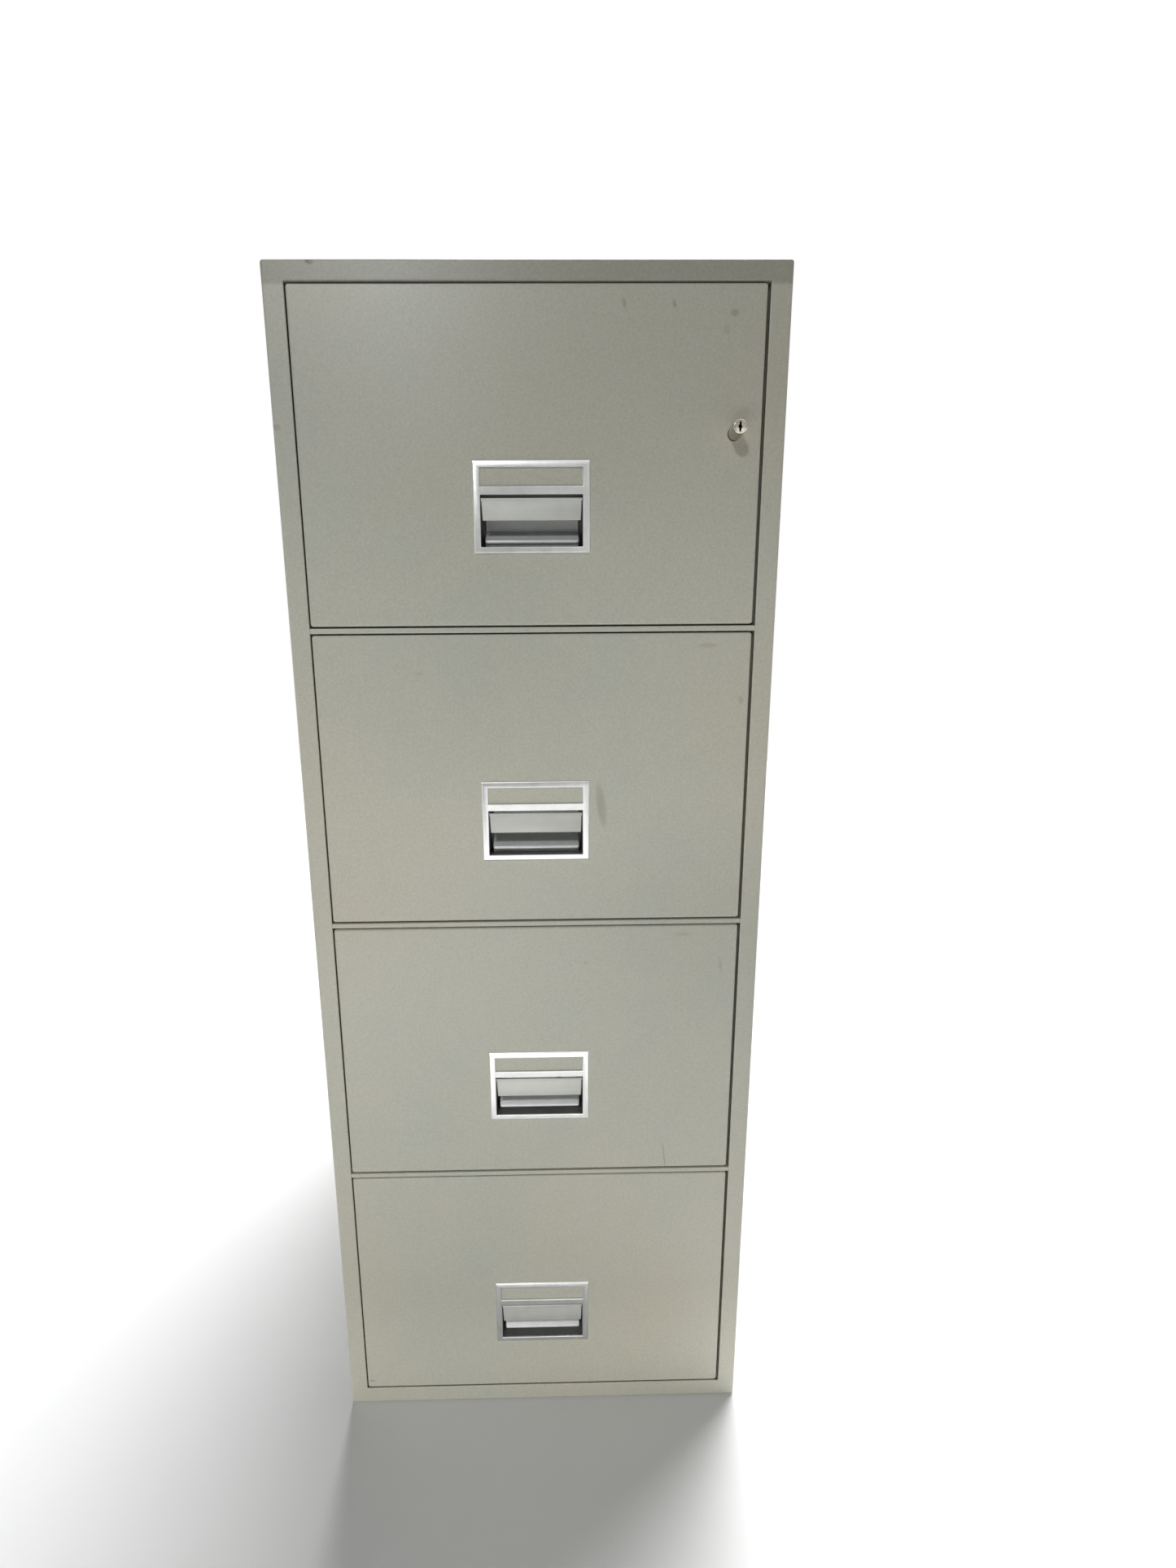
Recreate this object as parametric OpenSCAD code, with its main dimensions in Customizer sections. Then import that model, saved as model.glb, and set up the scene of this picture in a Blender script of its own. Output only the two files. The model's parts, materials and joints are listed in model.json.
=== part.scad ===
// Four-drawer insulated steel filing cabinet, shown closed and unlocked.
// X runs to the right, Y from the front to the back, Z up.
// The origin is the middle of the footprint, on the floor.

/* [Cabinet] */
// Width over the outer shell
body_w = 530; // [460:5:700]
// Height from the floor to the top
body_h = 1397; // [1250:1:1800]
// Depth from the front face to the back edge
body_d = 675; // [560:5:850]
// Width of the flush border at each side of the drawers
side_border = 22; // [16:0.5:40]
// Height of the border above the top drawer
top_border = 19.5; // [14:0.5:60]
// Height of the border below the bottom drawer
bottom_border = 23; // [14:0.5:80]
// Height of each flush rail between two drawers
rail_h = 5.5; // [4.5:0.5:20]
// Thickness of the outer shell and back sheet
shell_t = 1.2; // [0.8:0.1:2.5]
// Thickness of the flush front frame
frame_t = 1.5; // [1:0.1:3]
// Radius of the cabinet's long corners
corner_r = 3; // [2:0.5:8]

/* [Chambers] */
// Room behind a drawer front for the locking bar and its guides
rebate_room = 8; // [7.5:0.5:20]
// Rim of the ledge beside the locking bar's guides
ledge_rim = 1.9; // [1.5:0.1:10]
// Ledge between the rebate and the chamber, above and below
step_z = 20; // [14:1:30]
// Thickness of the insulated back wall
wall_back = 58; // [40:1:90]
// Thickness of the steel chamber liners
liner_t = 1; // [0.8:0.1:1.5]
// How far the back sheet sits inside the shell's back edge
back_inset = 5; // [4:0.5:15]

/* [Drawers] */
// Gap at each side of a drawer front when it hangs in the middle
gap_side = 2.1; // [1.2:0.1:4]
// Gap above a drawer front
gap_top = 1.7; // [1:0.1:4]
// Gap below a drawer front
gap_bottom = 2; // [1:0.1:4]
// How far the worn-in drawer fronts hang to the left
front_shift = 0.8; // [0:0.1:1]
// Thickness of an insulated drawer front
front_t = 56; // [46:1:70]
// Sheet thickness of the drawer fronts
sheet = 1.2; // [0.8:0.1:1.5]
// Corner radius of the drawer fronts
front_r = 3; // [2:0.5:6]
// Space above a drawer box's sides
box_headroom = 43.5; // [20:0.5:80]
// Sheet thickness of a drawer box
box_t = 1; // [0.8:0.1:1.5]
// Width of the folded lip that hanging files rest on
lip = 9; // [5:0.5:14]
// Space between a drawer box and the chamber's back
box_end = 12; // [8:1:40]

/* [Slides] */
// Height of the outer slide member
slide_h = 46; // [36:1:60]
// Space for a slide between the box and the chamber wall
slide_w = 13.5; // [12:0.5:18]
// Sheet thickness of the slide members
slide_t = 1.2; // [0.8:0.1:1.5]
// Running gap between two slide members
slide_gap = 0.4; // [0.3:0.1:0.8]
// Height of the slide's middle above the box floor
slide_rise = 60; // [40:1:110]

/* [Handle] */
// Width of the handle bezel
handle_w = 124; // [90:1:160]
// Middle of the handle above the lower edge of its opening
handle_rise = 122.4; // [90:0.1:180]
// How far the bezel stands proud of the drawer front
bezel_t = 2; // [1.5:0.1:3]
// Width of the bevel around the bezel
bevel = 1.6; // [0.5:0.1:2]
// Width of the bezel's side rails
bezel_side = 7.8; // [5:0.1:12]
// Height of the bezel's top rail
bezel_top = 7.1; // [5:0.1:12]
// Height of the label window
label_h = 18.7; // [12:0.1:30]
// Height of the rail between the window and the finger recess
bezel_mid = 8; // [5:0.1:12]
// Height of the finger recess
recess_h = 52.3; // [52:0.1:70]
// Height of the bezel's bottom rail
bezel_bottom = 6.9; // [5:0.1:12]
// Depth of the recess pan
pan_d = 26; // [24:1:40]
// Wall thickness of the recess pan
pan_t = 1.2; // [0.8:0.1:2]
// Lower edge of the flap above the floor of the recess
flap_low = 26.5; // [24:0.1:32]
// Thickness of the flap
flap_t = 1.8; // [1.2:0.1:2.2]
// Radius of the flap's pin
pin_r = 1.25; // [1:0.05:1.4]

/* [Lock] */
// Lock axis to the right edge of the drawer opening
lock_inset = 31.2; // [28:0.1:34]
// Lock axis to the top edge of the top drawer's opening
lock_drop = 141.2; // [60:0.1:160]
// Radius of the plunger barrel
barrel_r = 6.95; // [6.5:0.05:7.2]
// Radius of the key plug
plug_r = 5.6; // [5:0.05:5.8]
// How far the barrel stands out when it is unlocked
lock_out = 19; // [16:0.5:24]
// How far the barrel is pushed in to lock
push = 14; // [10:0.5:14]
// Width of the locking bar
bar_w = 16; // [10:1:17]
// Thickness of the locking bar
bar_t = 3; // [2:0.1:3]
// How far the locking bar drops
bar_drop = 10; // [6:0.5:10]

/* [Fits] */
// Radial clearance of a shaft or plunger in its bore
running = 0.05; // [0.02:0.01:0.1]
// Clearance between neighbours that move apart
clear = 0.3; // [0.2:0.05:0.5]

/* [Hidden] */
$fn = 48;
eps = 1;                  // how far a cutter runs past the face it opens

drawers = 4;
paint = "#a0a094";
steel = "#8f9396";
satin = "#b9bcbd";
board = "#d8d4c8";

// Openings, counted from the top drawer (1) to the bottom drawer (4)
front_y = -body_d / 2;
open_w = body_w - 2 * side_border;
open_h = (body_h - top_border - bottom_border - (drawers - 1) * rail_h) / drawers;
function open_low(n) = body_h - top_border - n * open_h - (n - 1) * rail_h;
function open_mid(n) = open_low(n) + open_h / 2;

// Chambers behind the openings
guide_wall = 1.5;
bar_gap = 0.4;            // locking bar to its guides
rebate_d = front_t + rebate_room;
step_x = lock_inset + bar_w / 2 + bar_gap + guide_wall + ledge_rim;
chamber_w = open_w - 2 * step_x;
chamber_h = open_h - 2 * step_z;
chamber_end = body_d - wall_back;
back_d = body_d - back_inset;

// Drawer fronts and boxes
front_w = open_w - 2 * gap_side;
front_h = open_h - gap_top - gap_bottom;
front_lift = (gap_bottom - gap_top) / 2;
box_w = chamber_w - 2 * slide_w;
box_floor_gap = 6;        // box floor above the chamber floor
box_h = chamber_h - box_floor_gap - box_headroom;
box_back = chamber_end - box_end;
function box_low(n) = open_low(n) + step_z + box_floor_gap;

// Handle
handle_h = bezel_top + label_h + bezel_mid + recess_h + bezel_bottom;
recess_w = handle_w - 2 * bezel_side;
function handle_low(n) = open_low(n) + handle_rise - handle_h / 2;
function recess_low(n) = handle_low(n) + bezel_bottom;
function label_low(n) = recess_low(n) + recess_h + bezel_mid;
pin_d = 5;                // pin axis behind the drawer face
pin_z = recess_h - 7.3;   // pin axis above the recess floor
roll_r = 1.6;             // rolled top edge of the flap
roll_d = 1;
roll_z = recess_h - 4.4;
flap_proud = 1.5;         // the flap's lower edge, in front of the drawer face
flap_top_w = recess_w - 1.4;
flap_low_w = recess_w - 5;
ear_t = 2.5;
ear_r = 2.6;
ear_h = 12;
ear_x = recess_w / 2 - 7;
scoop_inset = 4;          // the scoop's ends inside the pan's side walls
scoop_h = 21;
scoop_flat = 6;           // level stretch at the back of the scoop
nose_r = 3;
nose_d = 5.5;             // front of the scoop's nose behind the drawer face

// Flap spring
wire = 0.8;
coil_r = pin_r + 0.35;
coil_pitch = 1.2;
coil_turns = 5;
coil_steps = 12;          // straight steps in one turn
coil_x = 22;

// Lock and locking bar
lock_x = open_w / 2 - lock_inset;
lock_z = open_low(1) + open_h - lock_drop;
hole_r = barrel_r + 0.65;
housing_r = barrel_r + 3;
barrel_end = front_t - 8;
plug_end = 8;
key_depth = 19;           // depth of the keyway in the plug
key_h = 9.3;
key_w = 1.5;
key_mid_r = 1.45;
tail_w = 8;
tail_end = front_t + 13;
tail_low = -9;
tail_top = 5;
ramp_d = front_t - 1;     // depth at which the tail's ramp starts
ramp = bar_drop / push;
ramp_gap = 0.5;
bar_d = front_t + 3;
head_end = front_t + 17;
head_h = 24;
lug_w = 9;
lug_h = 8;
lug_below_head = 40;
lug_rise = open_h - lock_drop - head_h - lug_h - lug_below_head;
guide_h = 14;
guide_below_lug = 50;
guide_rise = lug_rise - guide_below_lug;
catch_h = 6;
catch_d = 5;
catch_gap = 2;            // lug above its catch when the bar is down
pocket_end = front_t + 34;
bar_low = open_low(drawers) + guide_rise - 2 * guide_h;

// Pushes a flat XZ outline through the depths d0 to d1 behind the front face
module slab(d0, d1) {
    translate([0, front_y + d1, 0]) rotate([90, 0, 0]) linear_extrude(d1 - d0) children();
}

// Turns a flat (depth, height) section into a bar that runs from x0 to x1
module bar_along_x(x0, x1) {
    translate([x0, front_y, 0]) rotate([90, 0, 90]) linear_extrude(x1 - x0) children();
}

// Round bar along Y, from depth d0 to d1
module rod_y(r, d0, d1, r_front = undef) {
    translate([0, front_y + d1, 0]) rotate([90, 0, 0])
        cylinder(r1 = r, r2 = is_undef(r_front) ? r : r_front, h = d1 - d0);
}

module round_rect(w, h, r) {
    square([w - 2 * r, h], center = true);
    square([w, h - 2 * r], center = true);
    for (x = [-1, 1], z = [-1, 1])
        translate([x * (w / 2 - r), z * (h / 2 - r)]) circle(r);
}

module body_outline(inset) {
    translate([0, body_h / 2])
        round_rect(body_w - 2 * inset, body_h - 2 * inset, corner_r - min(inset, corner_r - 1));
}

module open_outline(n, grow = 0) {
    translate([0, open_mid(n)]) square([open_w + 2 * grow, open_h + 2 * grow], center = true);
}

module chamber_outline(n, grow = 0) {
    translate([0, open_mid(n)])
        square([chamber_w + 2 * grow, chamber_h + 2 * grow], center = true);
}

module front_outline(n, inset = 0) {
    translate([-front_shift, open_mid(n) + front_lift])
        round_rect(front_w - 2 * inset, front_h - 2 * inset, front_r - min(inset, front_r - 1));
}

// ---- Carcass ----

base_flange = 25;         // the shell's folded edge under the cabinet
back_flange = 24;         // the shell's folded edge that the back sheet is screwed to

module outer_shell() color(paint) difference() {
    slab(frame_t, body_d) body_outline(0);
    slab(frame_t - eps, back_d - shell_t) body_outline(shell_t);
    slab(back_d, body_d + eps) body_outline(shell_t);
    slab(0, body_d) body_outline(shell_t + back_flange);
    slab(frame_t - eps, back_d - shell_t)
        square([body_w - 2 * base_flange, 4 * shell_t], center = true);
    for_each_back_screw() rod_y(screw_r, back_d - 2 * shell_t, body_d + eps);
}

module base_plate() color(paint)
    slab(frame_t, back_d - shell_t) translate([0, shell_t / 2])
        square([body_w - 2 * base_flange, shell_t], center = true);

module back_panel() color(paint) difference() {
    slab(back_d, back_d + shell_t) body_outline(shell_t);
    for_each_back_screw() rod_y(screw_r, back_d - eps, body_d + eps);
}

screw_r = 2;
screw_head_r = 4.5;
screw_head_t = 2.2;
screw_l = 12;
screw_rows = 6;
screw_inset = 14;

module for_each_back_screw() {
    for (x = [-1, 1], i = [0 : screw_rows - 1])
        translate([x * (body_w / 2 - screw_inset), 0,
                   3 * screw_inset + i * (body_h - 6 * screw_inset) / (screw_rows - 1)])
            children();
}

module back_screws() color(steel) for_each_back_screw() difference() {
    union() {
        rod_y(screw_r, back_d + shell_t - screw_l, back_d + shell_t + eps);
        rod_y(0.8 * screw_head_r, back_d + shell_t, back_d + shell_t + screw_head_t, screw_head_r);
    }
    translate([0, front_y + back_d + shell_t + screw_head_t, 0])
        cube([1.1, 2.4, 1.6 * screw_head_r], center = true);
}

module front_frame() color(paint) difference() {
    slab(0, frame_t) body_outline(0);
    slab(-eps, frame_t + eps) translate([0, (open_low(4) + open_low(1) + open_h) / 2])
        square([open_w, open_low(1) + open_h - open_low(4)], center = true);
}

// Slot that the locking bar runs through, wherever it crosses a wall
module bar_slot() {
    slab(bar_d - 2 * bar_gap, bar_d + bar_t + 2 * bar_gap)
        translate([lock_x - bar_w / 2 - 2 * bar_gap, bar_low - bar_drop - 2])
            square([bar_w + 4 * bar_gap, lock_z - head_h - bar_low + bar_drop]);
}

// Hole in the ledge for the plunger's tail and the head of the bar
module lock_pocket(grow) {
    slab(rebate_d - eps, pocket_end + grow)
        translate([lock_x - tail_w / 2 - 2 - grow, lock_z - head_h - bar_drop - 4 - grow])
            square([tail_w + 4 + 2 * grow, head_h + bar_drop + 14 + 2 * grow]);
}

module drawer_rails() color(paint) difference() {
    for (n = [1 : drawers - 1]) translate([0, 0, open_low(n) - rail_h / 2]) {
        slab(0, frame_t) square([open_w, rail_h], center = true);
        slab(frame_t, rebate_d) square([open_w, rail_h - 2 * liner_t], center = true);
    }
    bar_slot();
}

module chamber_liners() color(steel) difference() {
    for (n = [1 : drawers]) difference() {
        union() {
            slab(frame_t, rebate_d + liner_t) open_outline(n, liner_t);
            slab(rebate_d, chamber_end + liner_t) chamber_outline(n, liner_t);
        }
        slab(frame_t - eps, rebate_d) open_outline(n);
        slab(rebate_d - eps, chamber_end) chamber_outline(n);
    }
    bar_slot();
    lock_pocket(0);
}

module wall_insulation() color(board) difference() {
    slab(frame_t, back_d - shell_t) intersection() {
        body_outline(shell_t);
        translate([-body_w / 2, shell_t]) square([body_w, body_h]);
    }
    slab(frame_t - eps, rebate_d + liner_t)
        translate([-open_w / 2 - liner_t, open_low(4) - liner_t])
            square([open_w + 2 * liner_t, open_low(1) + open_h - open_low(4) + 2 * liner_t]);
    for (n = [1 : drawers]) slab(rebate_d, chamber_end + liner_t) chamber_outline(n, liner_t);
    lock_pocket(0);
    for_each_back_screw() rod_y(screw_r, back_d + shell_t - screw_l, back_d + eps);
}

// ---- Telescopic slides: a pair of members, mirrored left and right ----

// Channel section lying on its web, open towards -X: web face at x, height h, depth w
module channel(x, h, w, t) {
    translate([x - t, -h / 2]) square([t, h]);
    for (s = [-1, 1]) translate([x - w, s * (h - t) / 2 - t / 2]) square([w, t]);
}

module both_sides(n) {
    for (s = [0, 1]) translate([0, 0, box_low(n) + slide_rise]) mirror([s, 0, 0]) children();
}

slide_front = rebate_d + 6;
mid_web = chamber_w / 2 - slide_t - slide_gap;
mid_h = slide_h - 2 * slide_t - 2 * slide_gap;
inner_h = mid_h - 2 * slide_t - 2 * slide_gap;

module fixed_slides() color(steel)
    for (n = [1 : drawers]) both_sides(n)
        slab(slide_front, chamber_end - 3) channel(chamber_w / 2, slide_h, slide_w - 2, slide_t);

module mid_slides(n) color(steel) both_sides(n)
    slab(slide_front, box_back - 2) channel(mid_web, mid_h, slide_w - 3, slide_t);

module drawer_slides(n) color(steel) both_sides(n)
    slab(front_t, box_back) translate([box_w / 2, 0]) mirror([1, 0, 0])
        channel(0, inner_h, slide_w - 2 * slide_t - 6 * slide_gap, slide_t);

// ---- Drawers ----

module handle_cutout(n, grow, d1) {
    slab(-eps, d1) translate([-recess_w / 2 - pan_t - grow, recess_low(n) - pan_t - grow])
        square([recess_w + 2 * pan_t + 2 * grow, recess_h + 2 * pan_t + 2 * grow]);
}

module at_lock() {
    translate([lock_x, 0, lock_z]) children();
}

module drawer_front(n) color(paint) difference() {
    slab(0, front_t) front_outline(n);
    slab(sheet, front_t + eps) front_outline(n, sheet);
    handle_cutout(n, 0, sheet + eps);
    if (n == 1) at_lock() rod_y(hole_r, -eps, sheet + eps);
}

module front_insulation(n) color(board) difference() {
    slab(sheet, front_t - sheet) front_outline(n, sheet);
    handle_cutout(n, 0, pan_d);
    if (n == 1) at_lock() rod_y(housing_r, 0, front_t);
}

module inner_plate(n) color(paint) {
    difference() {
        slab(front_t - sheet, front_t) front_outline(n, sheet);
        if (n == 1) at_lock() {
            rod_y(hole_r, front_t - sheet - eps, front_t + eps);
            slab(front_t - sheet - eps, front_t + eps)
                translate([-tail_w / 2 - 1, tail_low - 1]) square([tail_w + 2, -2 * tail_low]);
        }
    }
    slab(front_t, front_t + catch_d)
        translate([lock_x + bar_w / 2 + 3, open_low(n) + lug_rise - bar_drop - catch_gap - catch_h])
            square([lug_w - 4, catch_h]);
}

module drawer_box(n) color(paint) translate([0, 0, box_low(n)]) {
    difference() {
        slab(front_t, box_back) translate([-box_w / 2, 0]) square([box_w, box_h]);
        slab(front_t + box_t, box_back - box_t)
            translate([-box_w / 2 + box_t, box_t]) square([box_w - 2 * box_t, box_h]);
    }
    for (s = [0, 1]) mirror([s, 0, 0])
        slab(front_t, box_back) translate([box_w / 2 - lip, box_h - box_t]) square([lip, box_t]);
}

// ---- Handle ----

module handle_bezel(n) color(satin) difference() {
    slab(-bezel_t, 0) translate([-handle_w / 2, handle_low(n)]) square([handle_w, handle_h]);
    slab(-bezel_t - eps, eps) translate([-recess_w / 2, recess_low(n)]) square([recess_w, recess_h]);
    slab(-bezel_t - eps, eps) translate([-recess_w / 2, label_low(n)]) square([recess_w, label_h]);
    translate([0, front_y - bezel_t, handle_low(n) + handle_h / 2]) {
        for (s = [-1, 1]) {
            translate([s * handle_w / 2, 0, 0]) rotate([0, 0, 45])
                cube([bevel * sqrt(2), bevel * sqrt(2), 2 * handle_h], center = true);
            translate([0, 0, s * handle_h / 2]) rotate([45, 0, 0])
                cube([2 * handle_w, bevel * sqrt(2), bevel * sqrt(2)], center = true);
        }
    }
}

module scoop_section() {
    polygon([[nose_d, -pan_t], [nose_d, 1.5 * nose_r],
             [nose_d + nose_r * (1 - sqrt(0.5)), nose_r * (1.5 + sqrt(0.5))],
             [pan_d - scoop_flat, scoop_h - 1], [pan_d, scoop_h], [pan_d, -pan_t]]);
    translate([nose_d + nose_r, 1.5 * nose_r]) circle(nose_r);
}

module handle_pan(n) color(satin) difference() {
    union() {
        difference() {
            handle_cutout(n, 0, pan_d);
            slab(-2 * eps, 0) translate([-handle_w, recess_low(n) - handle_h])
                square([2 * handle_w, 3 * handle_h]);
            handle_cutout(n, -pan_t, pan_d - pan_t);
        }
        translate([0, 0, recess_low(n)])
            bar_along_x(-recess_w / 2 + scoop_inset, recess_w / 2 - scoop_inset) scoop_section();
    }
    at_pin(n) pin_rod(pin_r + running, recess_w / 2 + 2 * pan_t);
}

module at_pin(n) {
    translate([0, front_y + pin_d, recess_low(n) + pin_z]) children();
}

module pin_rod(r, half_l) {
    rotate([0, 90, 0]) cylinder(r = r, h = 2 * half_l, center = true);
}

module flap_pin(n) color(steel) at_pin(n) pin_rod(pin_r, recess_w / 2 + pan_t);

// Plate from the rolled top edge down to the finger edge, as a (depth, height) section
module flap_section() {
    polygon([[-flap_proud, flap_low], [roll_d - roll_r, roll_z], [roll_d - roll_r + flap_t, roll_z],
             [flap_t - flap_proud, flap_low]]);
    translate([roll_d, roll_z]) circle(roll_r);
}

module ear_section() {
    polygon([[0, pin_z - ear_h], [0, roll_z], [pin_d, pin_z + ear_r], [pin_d + ear_r, pin_z],
             [pin_d, pin_z - ear_r]]);
    translate([pin_d, pin_z]) circle(ear_r);
}

module handle_flap(n) color(satin) difference() {
    translate([0, 0, recess_low(n)]) {
        intersection() {
            bar_along_x(-flap_top_w / 2, flap_top_w / 2) flap_section();
            slab(-bezel_t - eps, pin_d) polygon([
                [-flap_low_w / 2, flap_low - eps], [flap_low_w / 2, flap_low - eps],
                [flap_top_w / 2 - 1, roll_z - roll_r], [flap_top_w / 2, roll_z - roll_r],
                [flap_top_w / 2, recess_h], [-flap_top_w / 2, recess_h],
                [-flap_top_w / 2, roll_z - roll_r], [1 - flap_top_w / 2, roll_z - roll_r]]);
        }
        for (s = [-1, 1])
            bar_along_x(s * ear_x - ear_t / 2, s * ear_x + ear_t / 2) ear_section();
    }
    at_pin(n) pin_rod(pin_r + running, recess_w);
}

// Square-wire torsion spring on the pin: a ring sector twisted along the pin
module flap_spring(n) color(steel) at_pin(n) translate([coil_x, 0, 0]) {
    rotate([0, 90, 0])
        linear_extrude(coil_turns * coil_pitch, twist = -360 * coil_turns,
                       slices = coil_steps * coil_turns, segments = 14)
            polygon([for (side = [0, 1], i = [0 : 6])
                let (a = (side == 0 ? i : 6 - i) * 40, r = coil_r + side * wire)
                    [r * cos(a), r * sin(a)]]);
}

// ---- Lock ----

module lock_housing() color(steel) at_lock() difference() {
    rod_y(housing_r, sheet, barrel_end - 1);
    rod_y(barrel_r + running, 0, barrel_end);
}

module lock_barrel() color("silver") at_lock() difference() {
    union() {
        rod_y(barrel_r, 1 - lock_out, barrel_end);
        rod_y(barrel_r, -lock_out, 1 - lock_out, barrel_r - 0.8);
    }
    rod_y(plug_r + running, -lock_out - eps, plug_end);
}

module key_plug() color("silver") at_lock() difference() {
    rod_y(plug_r, clear - lock_out, plug_end - clear);
    slab(-lock_out - eps, key_depth - lock_out) {
        square([key_w, key_h], center = true);
        circle(key_mid_r);
    }
}

module lock_tail() color(steel) at_lock()
    bar_along_x(-tail_w / 2, tail_w / 2) polygon([
        [barrel_end, tail_low + 4], [ramp_d, tail_low], [tail_end, tail_low + (tail_end - ramp_d) * ramp],
        [tail_end, tail_top], [barrel_end, tail_top]]);

module locking_bar() color(steel) {
    at_lock() bar_along_x(-tail_w / 2, tail_w / 2) polygon([
        [bar_d, tail_low - ramp_gap + (bar_d - ramp_d) * ramp],
        [head_end, tail_low - ramp_gap + (head_end - ramp_d) * ramp],
        [head_end, -head_h], [bar_d, -head_h]]);
    slab(bar_d, bar_d + bar_t) {
        translate([lock_x - bar_w / 2, bar_low]) square([bar_w, lock_z - head_h - bar_low]);
        for (n = [1 : drawers])
            translate([lock_x, open_low(n) + lug_rise]) square([bar_w / 2 + lug_w, lug_h]);
    }
}

module bar_guides() color(steel) for (n = [1 : drawers])
    translate([lock_x, 0, open_low(n) + guide_rise]) {
        slab(bar_d + bar_t + bar_gap, rebate_d)
            square([bar_w + 2 * bar_gap + 2 * guide_wall, guide_h], center = true);
        for (s = [-1, 1]) slab(bar_d, rebate_d)
            translate([s * (bar_w / 2 + bar_gap + guide_wall / 2), 0])
                square([guide_wall, guide_h], center = true);
    }

outer_shell();
back_panel();
base_plate();
front_frame();
drawer_rails();
wall_insulation();
chamber_liners();
fixed_slides();
back_screws();
bar_guides();
locking_bar();
lock_housing();
lock_barrel();
key_plug();
lock_tail();
for (n = [1 : drawers]) {
    drawer_front(n);
    front_insulation(n);
    inner_plate(n);
    drawer_box(n);
    drawer_slides(n);
    mid_slides(n);
    handle_bezel(n);
    handle_pan(n);
    handle_flap(n);
    flap_pin(n);
    flap_spring(n);
}
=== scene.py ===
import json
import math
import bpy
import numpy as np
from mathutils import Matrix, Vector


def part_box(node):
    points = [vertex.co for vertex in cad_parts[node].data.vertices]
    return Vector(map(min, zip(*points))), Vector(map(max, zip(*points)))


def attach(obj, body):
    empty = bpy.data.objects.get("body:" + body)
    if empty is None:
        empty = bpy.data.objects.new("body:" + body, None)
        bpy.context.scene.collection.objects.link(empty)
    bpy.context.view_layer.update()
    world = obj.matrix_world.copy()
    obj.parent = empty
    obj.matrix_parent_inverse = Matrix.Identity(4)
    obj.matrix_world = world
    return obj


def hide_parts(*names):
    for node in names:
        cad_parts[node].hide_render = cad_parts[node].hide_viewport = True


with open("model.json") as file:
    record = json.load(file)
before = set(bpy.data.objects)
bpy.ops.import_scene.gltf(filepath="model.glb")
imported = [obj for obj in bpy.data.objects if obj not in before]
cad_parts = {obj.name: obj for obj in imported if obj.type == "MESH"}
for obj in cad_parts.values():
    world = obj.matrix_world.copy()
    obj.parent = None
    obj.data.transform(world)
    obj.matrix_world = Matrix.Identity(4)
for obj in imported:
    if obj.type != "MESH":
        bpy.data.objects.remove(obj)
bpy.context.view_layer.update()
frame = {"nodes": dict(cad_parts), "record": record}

# %% [markdown]
# # An insulated steel filing cabinet
# The construction is already there as a frame of plain solids that move on their joints. This lesson
# gives it its looks: folded sheet steel with soft edges, an old semi-gloss enamel, satin metal handles
# and a plated lock. Every new piece rides on one of the frame's bodies, so drawers and flaps still move.
# All places are read from the frame, in metres: X to the right, Y to the back and Z up.

DRAWERS = (1, 2, 3, 4)


def box(node):
    """A node's lowest and highest corner at rest, as two arrays in metres."""
    low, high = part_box(node)
    return np.array(low), np.array(high)


shell_low, shell_high = box("outer_shell")
front_y = box("front_frame")[0][1]
print("front face at y =", round(front_y, 4), "m, cabinet", np.round(shell_high - shell_low, 3))

# %% [markdown]
# ## The camera
# A wide lens held at chest height, a short step from the cabinet and tipped a little down. A camera can
# be turned with Euler angles, but three axis vectors say more clearly where it looks: yaw and pitch give
# the line of sight, and the roll turns the other two axes around it.

# %% Camera
CAMERA_FROM_FACE = 0.6623
CAMERA_X = 0.0088
CAMERA_HEIGHT = 0.9864
YAW, PITCH, ROLL = 0.0121, 0.1719, -0.0091
LENS_MM, SENSOR_MM = 13.525, 36
SHIFT_X, SHIFT_Y = 0.0242, -0.0014


def make_camera():
    """Camera whose axes are: forward from yaw and pitch, right and up turned by the roll."""
    level = math.cos(PITCH)
    forward = Vector((math.sin(YAW) * level, math.cos(YAW) * level, -math.sin(PITCH)))
    flat_right = Vector((math.cos(YAW), -math.sin(YAW), 0))
    flat_up = flat_right.cross(forward)
    right = math.cos(ROLL) * flat_right + math.sin(ROLL) * flat_up
    up = right.cross(forward)
    data = bpy.data.cameras.new("camera")
    data.lens, data.sensor_width = LENS_MM, SENSOR_MM
    data.shift_x, data.shift_y = SHIFT_X, SHIFT_Y
    data.clip_start = 0.01
    camera = bpy.data.objects.new("camera", data)
    place = Matrix((right, up, -forward)).transposed().to_4x4()
    place.translation = (CAMERA_X, front_y - CAMERA_FROM_FACE, CAMERA_HEIGHT)
    camera.matrix_world = place
    bpy.context.collection.objects.link(camera)
    bpy.context.scene.camera = camera
    return camera


camera = make_camera()
print("camera at", np.round(camera.matrix_world.translation, 3))

# %% [markdown]
# ## Rings
# Sheet steel that is pressed or folded is well described by rings: a rounded rectangle whose size, corner
# radius and depth change from one ring to the next. Boxes with a Bevel modifier could do it too, but rings
# put every fold where it really is and need no modifier.

# %% Rings
CORNER_STEPS = 5
SHARPEST = 0.0001


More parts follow.
